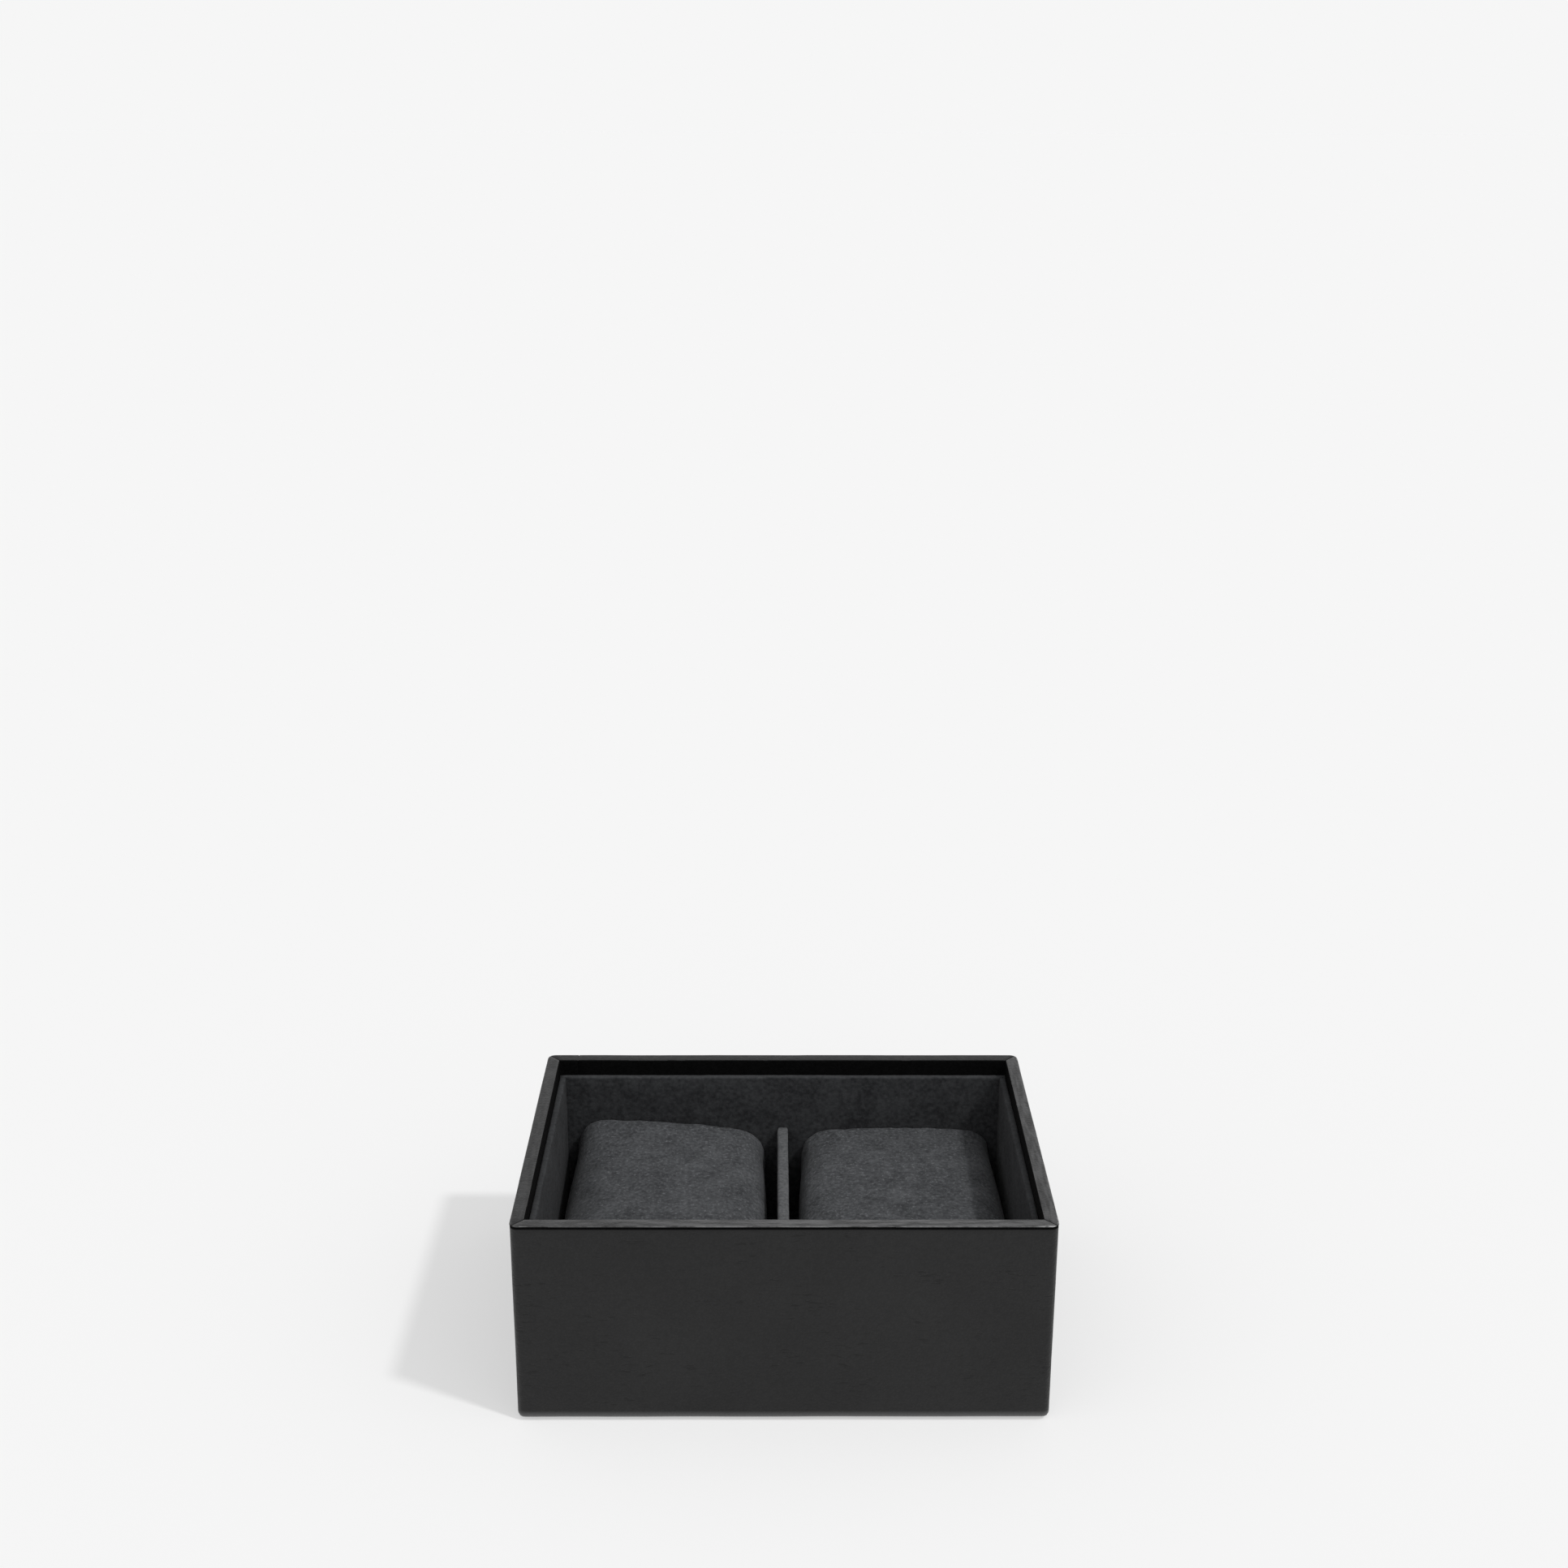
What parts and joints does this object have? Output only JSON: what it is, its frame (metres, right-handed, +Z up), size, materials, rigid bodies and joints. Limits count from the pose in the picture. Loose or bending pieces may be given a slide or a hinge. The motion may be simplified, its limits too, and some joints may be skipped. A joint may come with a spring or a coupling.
{
  "type": "stackable jewellery tray with cushions",
  "caption": "Open stackable jewellery box in black leatherette, lined in charcoal velvet, with a low divider and loose velvet cushions for bracelets.",
  "frame": {"origin": "on the ground under the middle of the case", "axes": "+Z up, -Y towards the front, +X to the right when seen from the front"},
  "size_m": [0.18, 0.125, 0.075],
  "materials": {
    "leatherette": "satin",
    "velvet": "matte",
    "felt": "matte",
    "fibreboard": "matte",
    "card": "matte",
    "foam": "matte"
  },
  "bodies": {
    "box": {"leather_wrap": "leatherette", "base_felt": "felt", "base_board": "fibreboard", "front_board": "fibreboard", "rear_board": "fibreboard", "left_board": "fibreboard", "right_board": "fibreboard", "front_liner_card": "card", "rear_liner_card": "card", "left_liner_card": "card", "right_liner_card": "card", "front_liner_velvet": "velvet", "rear_liner_velvet": "velvet", "left_liner_velvet": "velvet", "right_liner_velvet": "velvet", "divider_board": "fibreboard", "divider_velvet": "velvet", "left_floor_card": "card", "left_floor_foam": "foam", "left_floor_velvet": "velvet", "right_floor_card": "card", "right_floor_foam": "foam", "right_floor_velvet": "velvet"},
    "left_cushion": {"left_cushion_cover": "velvet", "left_cushion_foam": "foam", "left_cushion_front_end": "velvet", "left_cushion_rear_end": "velvet"},
    "right_cushion": {"right_cushion_cover": "velvet", "right_cushion_foam": "foam", "right_cushion_front_end": "velvet", "right_cushion_rear_end": "velvet"}
  },
  "joints": [
    {"name": "left_cushion_lift", "type": "slide", "parent": "box", "child": "left_cushion", "axis": [0, 0, 1], "range_m": [0, 0.075]},
    {"name": "right_cushion_lift", "type": "slide", "parent": "box", "child": "right_cushion", "axis": [0, 0, 1], "range_m": [0, 0.075]}
  ]
}
